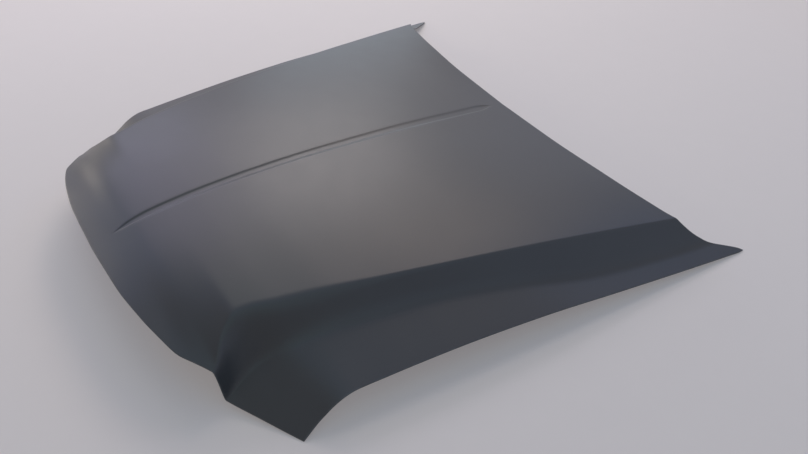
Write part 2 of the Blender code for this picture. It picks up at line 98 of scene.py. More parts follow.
TOE_SOFT = ((-0.60, 0.010), (-0.50, 0.016), (-0.40, 0.022), (0, 0.018), (0.60, 0.022))
GROOVE_FRONT, GROOVE_REAR, GROOVE_TAPER, GROOVE_END = -0.626, 0.422, 0.085, 0.050
GROOVE_HALF, GROOVE_SPREAD, GROOVE_DEPTH = 0.0115, 0.0040, 0.0024
TO_ORIGIN = np.array((0.0, 0.00049, -0.0004))


# %% A monotone curve through stations
def curve(points):
    """A smooth curve that never swings past its stations; it takes numbers or arrays."""
    s, v = np.array(points, float).T
    step = np.diff(s)
    rise = np.diff(v) / step
    slope = np.zeros(len(s))
    slope[0], slope[-1] = rise[0], rise[-1]
    w1, w2 = 2 * step[1:] + step[:-1], step[1:] + 2 * step[:-1]
    same_way = rise[:-1] * rise[1:] > 0
    safe = np.where(same_way, rise[:-1], 1.0), np.where(same_way, rise[1:], 1.0)
    slope[1:-1] = np.where(same_way, (w1 + w2) / (w1 / safe[0] + w2 / safe[1]), 0.0)

    def at(q):
        q = np.asarray(q, float)
        i = np.clip(np.searchsorted(s, q, side="right") - 1, 0, len(step) - 1)
        h = step[i]
        t = np.clip((q - s[i]) / h, 0, 1)
        past = q - np.clip(q, s[0], s[-1])
        end = np.where(q < s[0], slope[0], slope[-1])
        inside = ((2 * t**3 - 3 * t**2 + 1) * v[i] + (t**3 - 2 * t**2 + t) * h * slope[i]
                  + (3 * t**2 - 2 * t**3) * v[i + 1] + (t**3 - t**2) * h * slope[i + 1])
        return inside + past * end

    return at


front_edge, rear_edge, side_x = curve(FRONT_EDGE), curve(REAR_EDGE), curve(SIDE_X)
crease_x, toe_x, centre_z = curve(CREASE_X), curve(TOE_X), curve(CENTRE_Z)
crease_z, toe_z, side_rise = curve(CREASE_Z), curve(TOE_Z), curve(SIDE_Z)
crown, crease_soft, toe_soft = curve(CROWN), curve(CREASE_SOFT), curve(TOE_SOFT)
print("bonnet is", round(float(2 * side_x(0.667)), 3), "m wide at its rear corners")


# %% [markdown]
# ## One height for every place on the skin
#
# The skin never overhangs, so one formula can give its height at any place: a domed top, a
# straight flank and a straight flange, and where two of them meet, the lower or the higher one
# wins, with a fillet. The fillet's size changes along the bonnet. That is why the crease is a
# knife edge at the windscreen and melts away towards the nose.

# %% Height and slope of the skin
def lower(a, b, soft):
    """The lower of two heights, rounded over where they cross."""
    h = np.maximum(soft - abs(a - b), 0.0) / soft
    return np.minimum(a, b) - h * h * soft / 4


def groove_half(y):
    """Half the groove's width: it opens from a point at the front and ends short at the rear."""
    ahead = np.clip((y - GROOVE_FRONT) / GROOVE_TAPER, 0, 1)
    behind = np.clip((GROOVE_REAR - y) / GROOVE_END, 0, 1)
    ends = np.sin(ahead * math.pi / 2) * np.sin(behind * math.pi / 2)
    return (GROOVE_HALF + GROOVE_SPREAD * (y - GROOVE_FRONT)) * ends ** 0.7


def height(x, y, grooved=True):
    """Outer face of the skin, for places left and right of the middle."""
    x = abs(x)
    xk, zk = crease_x(y), crease_z(y) + crease_soft(y) / 4
    xt, zt = toe_x(y), toe_z(y) - toe_soft(y) / 4
    zs = lower(side_rise(y), CORNER_Z + CORNER_DROP * (y - CORNER_Y), CORNER_SOFT)
    top = centre_z(y) - (centre_z(y) - zk) * (x / xk) ** crown(y)
    flank = zk + (zt - zk) * (x - xk) / (xt - xk)
    flange = zt + (zs - zt) * (x - xt) / (side_x(y) - xt)
    z = lower(top, -lower(-flank, -flange, toe_soft(y)), crease_soft(y))
    half = np.maximum(groove_half(y), 1e-6)
    dip = GROOVE_DEPTH * np.minimum(half / GROOVE_HALF, 1)
    dip = dip * (1 - np.minimum(x / half, 1) ** 4) ** 2
    return z - dip if grooved else z


def face_normal(x, y, grooved=False):
    """Upward normals of the outer face, one for each place."""
    e = 0.0004
    along_x = (height(x + e, y, grooved) - height(x - e, y, grooved)) / (2 * e)
    along_y = (height(x, y + e, grooved) - height(x, y - e, grooved)) / (2 * e)
    n = np.stack((-along_x, -along_y, np.ones_like(along_x)), -1)
    return n / np.linalg.norm(n, axis=-1, keepdims=True)


print("highest point", round(float(height(np.array(0.02), np.array(-0.3))), 4), "m")


# %% [markdown]
# ## A grid that follows the lines
#
# Light shows up every crooked edge in a mesh. So the columns of this grid run along the crease,
# the toe of the flank and the side, and the rows run parallel to the nose at one end and to the
# windscreen edge at the other. Columns crowd together where the sheet bends sharply (groove,
# crease, toe) and spread out where it is nearly flat.

# %% Rows and columns of the skin
def plan_y(g, x):
    """Where a row crosses the distance x from the middle."""
    ahead, behind = NOSE + NOSE_BOW * x * x, REAR + REAR_BOW * x * x
    y = ahead + (behind - ahead) * g
    return y + (front_edge(x) - ahead) * (1 - g) ** 3 + (rear_edge(x) - behind) * g**3


def meet(line, g):
    """Where each row crosses one of the long lines."""
    x = np.full_like(g, 0.5)
    for _ in range(30):
        x = line(plan_y(g, x))
    return x


def between(stops, steps):
    """Places between stops, with a number of equal steps for each stretch."""
    runs = [a[:, None] + (b - a)[:, None] * np.arange(n) / n
            for a, b, n in zip(stops, stops[1:], steps)]
    return np.concatenate(runs + [stops[-1][:, None]], axis=1)


def row_fractions(steps):
    """Rows from nose to windscreen edge, closer together near both ends."""
    ends = np.array(END_ROWS)
    middle = np.linspace(ends[-1], 1 - ends[-1], steps)
    return np.concatenate((ends[:-1], middle, 1 - ends[:-1][::-1]))


END_ROWS = (0.0, 0.0035, 0.0065, 0.0100, 0.0145, 0.0200)
MIDDLE_ROWS = 136
BEND_NARROW, BEND_GROWTH, BEND_FADE, BEND_SHARE = 0.006, 0.030, 0.55, 0.35
TOE_BEND, GROOVE_STRIP, GROOVE_SIDE = 0.016, 0.004, 0.02
SIDE_ROLL, SIDE_INSET = 0.014, 0.004
COLUMN_STEPS = (12, 3, 36, 7, 9, 4, 4, 10, 9, 4, 1)
g_rows = row_fractions(MIDDLE_ROWS)
k, t, s = meet(crease_x, g_rows), meet(toe_x, g_rows), meet(side_x, g_rows)
soft = BEND_NARROW + BEND_GROWTH * np.clip(1 - g_rows / BEND_FADE, 0, 1)
b = np.maximum(groove_half(plan_y(g_rows, np.zeros_like(g_rows))), GROOVE_STRIP)
inner_bend = np.minimum(soft, BEND_SHARE * (t - k))
toe_bend = np.minimum(TOE_BEND, BEND_SHARE * (t - k))
stops = [0 * b, b, b + GROOVE_SIDE, k - 2 * soft, k - 0.5 * soft, k + 0.5 * inner_bend,
         k + inner_bend, t - toe_bend, t + toe_bend, s - SIDE_ROLL, s - SIDE_INSET, s]
half_x = between(stops, COLUMN_STEPS)
skin_x = np.concatenate((-half_x[:, :0:-1], half_x), axis=1)
skin_y = plan_y(g_rows[:, None], abs(skin_x))
print("skin grid:", skin_x.shape[0], "rows by", skin_x.shape[1], "columns")


# %% [markdown]
# ## Hemming the edge
#
# On the real bonnet a robot rolls the skin's rim down, round and back under the frame's edge.
# The fold is about as wide as three sheets and their glue. In the mesh, each point of the grid's
# rim gets a half circle that turns under, and then a strip that runs back inwards. Where two
# sides meet, a real hem is cut back so that the strips do not pile up, and so is this one.

# %% Helpers for meshes and their edges
SHARPEST_MITRE = -0.4


def add_mesh(name, vertices, faces, values=None):
    """A smooth-shaded mesh object; values are numbers kept at its vertices."""
    mesh = bpy.data.meshes.new(name)
    mesh.from_pydata(np.asarray(vertices).tolist(), [], faces)
    mesh.update()
    mesh.shade_smooth()
    for key, numbers in (values or {}).items():
        mesh.attributes.new(key, "FLOAT", "POINT").data.foreach_set(
            "value", np.asarray(numbers, np.float32))
    made = bpy.data.objects.new(name, mesh)
    bpy.context.scene.collection.objects.link(made)
    return made


def settle(made, angle=38):
    """Applies the modifiers to the mesh and keeps edges sharper than the angle crisp."""
    bpy.context.view_layer.update()
    final = bpy.data.meshes.new_from_object(
        made.evaluated_get(bpy.context.evaluated_depsgraph_get()))
    made.modifiers.clear()
    made.data = final
    final.shade_smooth()
    final.set_sharp_from_angle(angle=math.radians(angle))
    print(made.name, "has", len(final.vertices), "points and", len(final.polygons), "faces")


def grid_faces(rows, columns):
    """Quads of a rows by columns grid, seen from above."""
    first = (np.arange(rows - 1)[:, None] * columns + np.arange(columns - 1)).ravel()
    return np.stack((first, first + 1, first + columns + 1, first + columns), 1)


def way_out(edge, face):
    """Mitred directions off the sheet round its closed edge, and how straight the edge runs."""
    square = np.cross(np.roll(edge, -1, 0) - edge, face)
    square /= np.linalg.norm(square, axis=1, keepdims=True)
    before = np.roll(square, 1, 0)
    turn = np.sum(square * before, 1)
    return (square + before) / (1 + np.maximum(turn, SHARPEST_MITRE))[:, None], turn


def strips(ring, first, layers):
    """Quads that join a closed ring of points to each layer after it."""
    count, last, found = len(ring), ring, []
    for n in range(layers):
        here = first + n * count + np.arange(count)
        found.append(np.stack((last, here, np.roll(here, -1), np.roll(last, -1)), 1))
        last = here
    return np.concatenate(found)


# %% Close the grid's rim with a rolled hem
FOLD_STEPS, RETURN_STEPS, HEM_WIDTH = 8, 3, 0.013
CORNER_TURN, HEM_AT_CORNER, HEM_CUT_BACK = 0.80, 0.002, 0.8
rows, columns = skin_x.shape
index = np.arange(rows * columns).reshape(rows, columns)
ring = np.concatenate((index[0, :-1], index[:-1, -1], index[-1, :0:-1], index[:0:-1, 0]))
flat_x, flat_y = skin_x.ravel(), skin_y.ravel()
skin_points = np.stack((flat_x, flat_y, height(flat_x, flat_y)), 1)
plain = np.stack((flat_x, flat_y, height(flat_x, flat_y, False)), 1)
edge, face = plain[ring], face_normal(flat_x, flat_y)[ring]
out, turn = way_out(edge, face)
lengths = np.linalg.norm(np.roll(edge, -1, 0) - edge, axis=1)
run = np.concatenate(((0,), np.cumsum(lengths)))
corners = run[:-1][turn < CORNER_TURN]
gap = abs(run[:-1, None] - corners[None, :])
to_corner = np.minimum(gap, run[-1] - gap).min(1)
fold_radius = HEM_DEPTH / 2
layers = []
for n in range(1, FOLD_STEPS + 1):
    a = math.pi * n / FOLD_STEPS
    layers.append(edge - out * fold_radius * (1 - math.sin(a))
                  - face * fold_radius * (1 - math.cos(a)))
for n in range(1, RETURN_STEPS + 1):
    width = np.minimum(HEM_WIDTH, HEM_AT_CORNER + HEM_CUT_BACK * to_corner)[:, None]
    width = width * n / RETURN_STEPS
    inner = edge[:, :2] - (out * (fold_radius + width))[:, :2]
    ix, iy = inner[:, 0], inner[:, 1]
    under = np.stack((ix, iy, height(ix, iy, False)), 1)
    layers.append(under - face_normal(ix, iy) * HEM_DEPTH)
skin_points[ring] = edge - out * fold_radius
print("hem runs", round(float(run[-1]), 2), "m round", len(corners), "corners")


# %% The skin as one piece of sheet
BARE_FOLD_STEPS, RIM_WEAR = 2, 0.6
faces = np.concatenate((grid_faces(rows, columns), strips(ring, rows * columns, len(layers))))
vertices = np.concatenate([skin_points] + layers)
fold_mask = np.zeros(len(vertices))
fold_end = rows * columns + (FOLD_STEPS - BARE_FOLD_STEPS) * len(ring)
fold_mask[rows * columns:fold_end] = 1.0
fold_mask[ring] = RIM_WEAR
in_groove = 1 - abs(vertices[:, 0]) / np.maximum(groove_half(vertices[:, 1]), 1e-4)
values = {"fold": fold_mask, "groove": np.clip(in_groove, 0, 1)}
skin = add_mesh("skin_pressing", vertices + TO_ORIGIN, faces.tolist(), values)
sheet = skin.modifiers.new("sheet", "SOLIDIFY")
sheet.thickness, sheet.offset = SKIN_SHEET, -1
settle(skin)
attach(skin, "root")
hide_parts("outer_skin")

# %% [markdown]
# ## The inner frame as a table of depths
#
# The frame is one deep-drawn sheet. Its rim lies against the skin inside the hem. From there it
# drops into pans and ribs, and between them wide lands stay a few millimetres under the skin for
# the mastic. The lines and steps below are the solid model's own. The depth is read from a small
# table over rows and columns, eased from one entry to the next, so that every wall gets the
# rounded top and foot that a press tool leaves. Three pads are pressed flat, two for the hinges
# and one for the latch.

# %% Depth table of the frame
ROWS = np.array((0, 0.0035, 0.0122, 0.023, 0.043, 0.060, 0.074, 0.088, 0.102, 0.117, 0.165,
                 0.22, 0.28, 0.34, 0.40, 0.452, 0.468, 0.512, 0.528, 0.58, 0.64, 0.70, 0.76,
                 0.822, 0.838, 0.895, 0.935, 0.976, 0.9872, 0.9965, 1))
PAN_ROWS = (3, 8), (16, 17), (24, 27)
OPENING_ROWS = (9, 15), (18, 23)
HINGE_PAD_ROWS, LATCH_PAD_ROWS = (25, 26), (4, 6)
LAND_IN, FLOOR_IN, FLOOR_OUT, LAND_OUT, PAN_EDGE, PAN_FLOOR, CREST, TOE, SIDE_TOP = \
    1, 3, 4, 6, 7, 8, 9, 16, 19
PAN_DROP, LAND_DROP, PAN_CLEAR = 0.021, 0.0040, 0.010
RIB_FRONT, RIB_REAR, RIB_FLOOR, RIB_TOP, RIB_EDGE = 0.085, 0.42, 0.014, 0.022, 0.034
HINGE_PAD_Z, LATCH_PAD_Z, BOLT_HOLE, STRIKER_HOLE = 0.086, 0.147, 0.0090, 0.020
CORNER_ROUND, LIP_BEND, LIP_DROP = 0.030, 0.0022, 0.0026
CREST_REAR, CREST_GROWTH, FLANK_BEND, FLANK_SHARE = 0.004, 0.013, 0.6, 0.28
PAN_MARGIN, PAN_WALL, TOE_AHEAD, TOE_SHARE, TOE_BEYOND = 0.026, 0.014, 0.011, 0.25, 0.013
SIDE_FLOOR_IN, SIDE_TOP_IN = 0.026, 0.014
FRAME_COLUMNS, RIM_ROWS, RELIEF_ROW = 21, 3, 2
FIRST_ROW, LAST_ROW = 1, len(ROWS) - 2


def column_places(g):
    """Distances from the middle of the frame's 21 columns, for each row."""
    k, t, s = meet(crease_x, g), meet(toe_x, g), meet(side_x, g)
    w = CREST_REAR + CREST_GROWTH * np.maximum(0.0, 1 - g / BEND_FADE)
    r = RIB_FRONT + (RIB_REAR - RIB_FRONT) * g
    f = np.minimum(FLANK_BEND * w, FLANK_SHARE * (t - k))
    pan = k - 2 * w - PAN_MARGIN
    toe_in = t - np.minimum(TOE_AHEAD, TOE_SHARE * (t - k))
    flange = (t + TOE_BEYOND + s - SIDE_FLOOR_IN) / 2
    return np.stack((0 * g, r - RIB_EDGE, r - RIB_TOP, r - RIB_FLOOR, r + RIB_FLOOR,
                     r + RIB_TOP, r + RIB_EDGE, pan, pan + PAN_WALL, k - 2 * w, k - w, k,
                     k + f, k + 2 * f, toe_in, t, t + TOE_BEYOND, flange,
                     s - SIDE_FLOOR_IN, s - SIDE_TOP_IN, s - SIDE_INSET))


depth = np.full((len(ROWS), FRAME_COLUMNS), LAND_DROP)
for first, last in PAN_ROWS:
    depth[first:last + 1] = PAN_DROP
depth[:, FLOOR_IN:FLOOR_OUT + 1] = PAN_DROP
depth[:, PAN_FLOOR:] = PAN_DROP
depth[:RIM_ROWS], depth[-RIM_ROWS:], depth[:, SIDE_TOP:] = 0.0, 0.0, 0.0
hinge_pad, latch_pad = np.zeros_like(depth), np.zeros_like(depth)
hinge_pad[HINGE_PAD_ROWS[0]:HINGE_PAD_ROWS[1] + 1, LAND_OUT:PAN_EDGE + 1] = 1.0
latch_pad[LATCH_PAD_ROWS[0]:LATCH_PAD_ROWS[1] + 1, :FLOOR_OUT + 1] = 1.0
print("deepest press:", 1000 * PAN_DROP, "mm; walls on", len(PAN_ROWS), "bands of rows")


# %% Fine grid of the frame
def eased(table, u, v):
    """Entries of a table between its rows u and columns v, eased in and out of each."""
    i = np.minimum(u.astype(int), table.shape[0] - 2)
    j = np.minimum(v.astype(int), table.shape[1] - 2)
    a, b = u - i, v - j
    a, b = a * a * (3 - 2 * a), b * b * (3 - 2 * b)
    near = table[i, j] * (1 - b) + table[i, j + 1] * b
    return near * (1 - a) + (table[i + 1, j] * (1 - b) + table[i + 1, j + 1] * b) * a


def frame_points(x, y, fall, hinge, latch):
    """Upper face of the frame under places of the skin."""
    made = np.stack((x, y, height(x, y, False)), -1)
    made -= face_normal(x, y) * (SKIN_SHEET + HEM_GAP)
    made[..., 2] -= np.minimum(fall, np.maximum(made[..., 2] - PAN_CLEAR, 0))
    made[..., 2] += (HINGE_PAD_Z - made[..., 2]) * hinge
    made[..., 2] += (LATCH_PAD_Z - made[..., 2]) * latch
    return made


def fractions(first, steps):
    """Places along a table's axis, with a number of equal steps for each entry."""
    runs = [first + i + np.arange(n) / n for i, n in enumerate(steps)]
    return np.concatenate(runs + [[first + len(steps)]])


WALL_BANDS = (2, 3, 6, 8, 15, 17, 23, 24, 26, 27)
WALL_STEP, OPEN_STEP = 0.0030, 0.0125
FRAME_COLUMN_STEPS = (28, 3, 5, 5, 5, 3, 16, 6, 3, 4, 4, 3, 3, 5, 3, 4, 6, 6, 5, 3)
band_lengths = np.diff(ROWS) * (REAR - NOSE)
row_steps = [math.ceil(band_lengths[i] / (WALL_STEP if i in WALL_BANDS else OPEN_STEP))
             for i in range(FIRST_ROW, LAST_ROW)]
u, v = fractions(FIRST_ROW, row_steps), fractions(0, FRAME_COLUMN_STEPS)
i = np.minimum(u.astype(int), LAST_ROW - 1)
g_fine = ROWS[i] * (1 - (u - i)) + ROWS[i + 1] * (u - i)
j = np.minimum(v.astype(int), FRAME_COLUMNS - 2)
part = (v - j)[:, None]
places = column_places(g_fine)
half_x = (places[j] * (1 - part) + places[j + 1] * part).T
frame_x = np.concatenate((-half_x[:, :0:-1], half_x), axis=1)
frame_y = plan_y(g_fine[:, None], abs(frame_x))
signed_v = np.concatenate((-v[:0:-1], v))
U, V = np.meshgrid(u, abs(signed_v), indexing="ij")
print("frame grid:", frame_x.shape[0], "rows by", frame_x.shape[1], "columns")

# %% [markdown]
# ## Cut-outs with rolled lips
#
# A raw cut-out in thin sheet would tear from its corners, so the press rounds them and turns a
# small lip down all round. In the mesh, the points near each corner slide on to a curve, and a
# quarter circle and a short skirt are added to the ring of points round the hole.

# %% Round the corners and turn the lips
def slide_corners(spots, ring, corners, radius):
    """Moves the ring's points near each corner on to a curve between its two sides."""
    count, old = len(ring), spots[ring].copy()
    for c in corners:
        for way in (-1, 1):
            ends = []
            for turn in (way, -way):
                n = 1
                while np.linalg.norm(old[(c + turn * n) % count] - old[c]) < radius:
                    n += 1
                ends.append(old[(c + turn * n) % count])
            n = 0
            while np.linalg.norm(old[(c + way * n) % count] - old[c]) < radius:
                d = np.linalg.norm(old[(c + way * n) % count] - old[c])
                s = 0.5 * (1 - d / np.linalg.norm(ends[0] - old[c]))
                spots[ring[(c + way * n) % count]] = (
                    (1 - s) ** 2 * ends[0] + 2 * s * (1 - s) * old[c] + s * s * ends[1])
                n += 1


rows, columns = frame_x.shape
index = np.arange(rows * columns).reshape(rows, columns)
spots = np.stack((frame_x.ravel(), frame_y.ravel()), 1)
rings = []
for first, last in OPENING_ROWS:
    a, b = np.searchsorted(u, (first, last))
    for low, high in ((-LAND_IN, LAND_IN), (LAND_OUT, PAN_EDGE), (-PAN_EDGE, -LAND_OUT)):
        c, d = np.searchsorted(signed_v, (low, high))
        loop = np.concatenate((index[a:b, c], index[b, c:d], index[b:a:-1, d],
                               index[a, d:c:-1]))
        slide_corners(spots, loop, (0, b - a, b - a + d - c, 2 * (b - a) + d - c), CORNER_ROUND)
        rings.append(loop)
fall, hinge, latch = (eased(t, U, V).ravel() for t in (depth, hinge_pad, latch_pad))
points = frame_points(spots[:, 0], spots[:, 1], fall, hinge, latch)
mid_u = ((u[1:] + u[:-1]) / 2)[:, None]
mid_v = abs((signed_v[1:] + signed_v[:-1]) / 2)[None, :]
hole_row = np.any([(mid_u > first) & (mid_u < last) for first, last in OPENING_ROWS], axis=0)
hole = hole_row & ((mid_v < LAND_IN) | ((mid_v > LAND_OUT) & (mid_v < PAN_EDGE)))
hole |= (mid_u < RELIEF_ROW) & (mid_v > CREST) & (mid_v < TOE)
sheet_faces = [grid_faces(rows, columns)[~hole.ravel()]]
sheet_points, lip_mask = [points], [np.zeros(len(points))]
count = len(points)
for loop in rings:
    rim_points = points[loop]
    face = face_normal(rim_points[:, 0], rim_points[:, 1])
    out, _ = way_out(rim_points, face)
    lip = [rim_points + out * LIP_BEND * math.sin(a) - face * LIP_BEND * (1 - math.cos(a))
           for a in np.radians((18, 36, 54, 72, 90))]
    lip += [lip[-1] - face * LIP_DROP * n / 2 for n in (1, 2)]
    sheet_faces.append(strips(loop, count, len(lip)))
    sheet_points += lip
    lip_mask.append(np.ones(len(lip) * len(loop)))
    count += len(lip) * len(loop)
print(len(rings), "cut-outs with lips")


# %% Drill it and settle it
def prism(x, y, diameter, low, high, sides=32):
    """Points and faces of an upright prism."""
    a = 2 * math.pi * np.arange(sides) / sides
    ends = [np.stack((x + diameter / 2 * np.cos(a), y + diameter / 2 * np.sin(a),
                      np.full(sides, z)), 1) for z in (low, high)]
    faces = [list(range(sides))[::-1], list(range(sides, 2 * sides))]
    faces += [[n, (n + 1) % sides, sides + (n + 1) % sides, sides + n] for n in range(sides)]
    return np.concatenate(ends), faces


def middle(name):
    """Middle of a solid node's box."""
    low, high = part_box(name)
    return (np.array(low) + np.array(high)) / 2


DRILL_REACH = 0.015
nuts = [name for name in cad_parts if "_nut_" in name]
drills = [(*middle(name), BOLT_HOLE) for name in nuts]
drills.append((0.0, middle("latch_plate")[1], middle("latch_plate")[2], STRIKER_HOLE))
drill_points, drill_faces = [], []
for x, y, z, diameter in drills:
    p, f = prism(x, y, diameter, z - DRILL_REACH, z + DRILL_REACH)
    start = sum(len(q) for q in drill_points)
    drill_points.append(p)
    drill_faces += [[start + n for n in face] for face in f]
drill = add_mesh("drill", np.concatenate(drill_points), drill_faces)
frame_vertices = np.concatenate(sheet_points) + TO_ORIGIN
pressing = add_mesh("frame_pressing", frame_vertices, np.concatenate(sheet_faces).tolist(),
                    {"lip": np.concatenate(lip_mask),
                     "pan": np.concatenate((fall / PAN_DROP, np.zeros(count - len(fall))))})
loose = bmesh.new()
loose.from_mesh(pressing.data)
bmesh.ops.delete(loose, geom=[p for p in loose.verts if not p.link_faces], context="VERTS")
loose.to_mesh(pressing.data)
loose.free()
sheet = pressing.modifiers.new("sheet", "SOLIDIFY")
sheet.thickness, sheet.offset = FRAME_SHEET, -1
holes = pressing.modifiers.new("holes", "BOOLEAN")
holes.operation, holes.solver, holes.object = "DIFFERENCE", "EXACT", drill
settle(pressing, 34)
bpy.data.objects.remove(drill)
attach(pressing, "root")
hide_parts("inner_frame")

# %% [markdown]
# ## Finishes as expressions
#
# A finish is easier to read as a sum than as a web of boxes. The class below wraps one socket,
# so that `1 - mask * 0.3` adds the Math nodes it needs. One method makes every other node: it
# takes the node's type, its settings, and the values or links of its sockets. The last method
# gives the floor and the world a second colour, which the part on the studio explains.

# %% Sockets that can be added and multiplied
class Wire:
    """One output socket; sums and products on it become Math nodes."""

    def __init__(self, socket):
        self.socket = socket

    def math(self, operation, *values):
        nodes = self.socket.id_data.nodes
        node = nodes.new("ShaderNodeMath")
        node.operation = operation
        for slot, value in zip(node.inputs, values):
            connect(slot, value)
        return Wire(node.outputs[0])

    def __add__(self, other):
        return self.math("ADD", self, other)

    def __radd__(self, other):
        return self.math("ADD", other, self)

    def __sub__(self, other):
        return self.math("SUBTRACT", self, other)

    def __rsub__(self, other):
        return self.math("SUBTRACT", other, self)

    def __mul__(self, other):
        return self.math("MULTIPLY", self, other)

    def __rmul__(self, other):
        return self.math("MULTIPLY", other, self)


def connect(slot, value):
    """Links a wire to a socket, or sets the socket's own value."""
    if isinstance(value, Wire):
        slot.id_data.links.new(value.socket, slot)
    elif hasattr(value, "__len__") and slot.type == "RGBA":
        slot.default_value = (*value, 1) if len(value) == 3 else value
    else:
        slot.default_value = value


class Finish:
    """A material, or the world, whose nodes are made one call at a time."""

    def __init__(self, name, holder=None, shader="Principled BSDF"):
        self.material = holder or bpy.data.materials.new(name)
        self.material.use_nodes = True
        self.tree = self.material.node_tree
        self.shader = self.tree.nodes[shader]

    def node(self, kind, settings=None, sockets=None, output=0):
        """A node with its settings set first, then its sockets; gives one output."""
        made = self.tree.nodes.new("ShaderNode" + kind)
        for key, value in (settings or {}).items():
            if key == "stops":
                ramp = made.color_ramp.elements
                while len(ramp) < len(value):
                    ramp.new(0.5)
                for stop, (place, colour) in zip(ramp, value):
                    stop.position, stop.color = place, (*colour, 1)
            else:
                setattr(made, key, value)
        for key, value in (sockets or {}).items():
            slot = next(i for i in made.inputs if key in (i.identifier, i.name))
            connect(slot, value)
        return Wire(next(o for n, o in enumerate(made.outputs)
                         if output in (n, o.identifier, o.name)))

    def kept(self, name):
        """A number kept at the mesh's vertices."""
        return self.node("Attribute", {"attribute_name": name}, output="Fac")

    def place(self, stretch=(1, 1, 1)):
        """The place on the object in metres, stretched along its axes."""
        spot = self.node("TexCoord", output="Object")
        return self.node("Mapping", None, {"Vector": spot, "Scale": stretch})

    def noise(self, spot, scale, detail=3.0, roughness=0.5):
        """Smooth noise from 0 to 1 with about `scale` blobs to the metre."""
        return self.node("TexNoise", {"normalize": True},
                         {"Vector": spot, "Scale": scale, "Detail": detail,
                          "Roughness": roughness})

    def remap(self, wire, low, high, new_low=0.0, new_high=1.0):
        """Stretches low..high to new_low..new_high and clips what lies outside."""
        return self.node("MapRange", {"clamp": True, "interpolation_type": "SMOOTHSTEP"},
                         {"Value": wire, "From Min": low, "From Max": high,
                          "To Min": new_low, "To Max": new_high})

    def mix(self, factor, a, b):
        """A colour between a and b."""
        return self.node("Mix", {"data_type": "RGBA"},
                         {"Factor_Float": factor, "A_Color": a, "B_Color": b}, "Result_Color")

    def bump(self, wire, height):
        """A normal for a height in metres."""
        return self.node("Bump", None, {"Height": wire * height, "Distance": 1.0,
                                        "Strength": 1.0})

    def set(self, sockets):
        """Sets or links the main shader's own sockets."""
        for key, value in sockets.items():
            connect(self.shader.inputs[key], value)
        return self.material

    def show_backdrop(self, share, kind, target):
        """Camera, glossy and glass rays meet the backdrop's colour, by the share."""
        looks = [self.node("LightPath", output=name) for name in
                 ("Is Camera Ray", "Is Glossy Ray", "Is Transmission Ray")]
        looking = looks[0].math("MAXIMUM", looks[0].math("MAXIMUM", *looks[:2]), looks[2])
        pale = self.node(kind, None, {"Color": BACKDROP, "Strength": 1.0})
        both = self.node("MixShader", None, {"Fac": looking * share})
        mixer = both.socket.node
        self.tree.links.new(self.shader.outputs[0], mixer.inputs[1])
        self.tree.links.new(pale.socket, mixer.inputs[2])
        self.tree.links.new(both.socket, self.tree.nodes[target].inputs["Surface"])


print("finish helpers ready")

# %% [markdown]
# ## Dark primer on the outer skin
#
# A new body panel is dipped in dark primer and baked. The film is thin and satin: it has a
# faint pebbled skin, like very fine orange peel, and its grey drifts a little where the film ran
# thicker. Handling leaves the rest: a little pale dust, which settles in the groove, and the
# folded edge, where the film has pulled thin over the bend and looks lighter.

# %% Primer for the skin
primer = Finish("dark primer")
spot = primer.place()
drift = primer.noise(spot, 3.5, 4.0)
cloud = primer.noise(spot, 22.0, 3.0)
grain = primer.noise(spot, 900.0, 2.0, 0.6)
speck = primer.noise(spot, 420.0, 1.0, 0.4)
dust = primer.remap(speck, 0.74, 0.80) * primer.remap(cloud, 0.45, 0.65)
worn = primer.kept("fold") * primer.remap(primer.noise(spot, 60.0, 3.0), 0.40, 0.60, 0.35, 1.0)
body = primer.mix(primer.remap(drift, 0.30, 0.70), (0.0400, 0.0435, 0.0480),
                  (0.0465, 0.0500, 0.0545))
body = primer.mix(cloud * 0.35, body, (0.0500, 0.0520, 0.0550))
body = primer.mix(primer.remap(grain, 0.30, 0.75) * 0.35, body, (0.0330, 0.0360, 0.0400))
body = primer.mix(primer.kept("groove") * 0.25, body, (0.060, 0.060, 0.060))
body = primer.mix(dust * 0.30, body, (0.20, 0.20, 0.20))
body = primer.mix(worn * 0.45, body, (0.145, 0.150, 0.155))
sheen = 0.40 + (cloud - 0.5) * 0.06 + (grain - 0.5) * 0.10 + dust * 0.15 - worn * 0.05
pebble = primer.noise(spot, 260.0, 2.0, 0.45)
primer.set({
    "Base Color": body,
    "Roughness": sheen,
    "Specular IOR Level": 0.5,
    "Normal": primer.bump(pebble * 0.6 + grain * 0.4, 0.00004),
})
skin.data.materials.clear()
skin.data.materials.append(primer.material)
print("primer nodes:", len(primer.tree.nodes))

# %% [markdown]
# ## Finishes under the bonnet
#
# The frame went through the same dip as the skin, but nobody sands or touches up the underside.
# The film is thinner and flatter there. It hangs in faint runs where the panel drained, pools a
# little darker in the pans, and has pulled thin over the lips of the cut-outs. The plates keep
# the grain of rolled strip under their primer. The nuts are plated, with a faint yellow cast
# that comes and goes, and the mastic is a matt, lumpy bead squeezed from a gun.

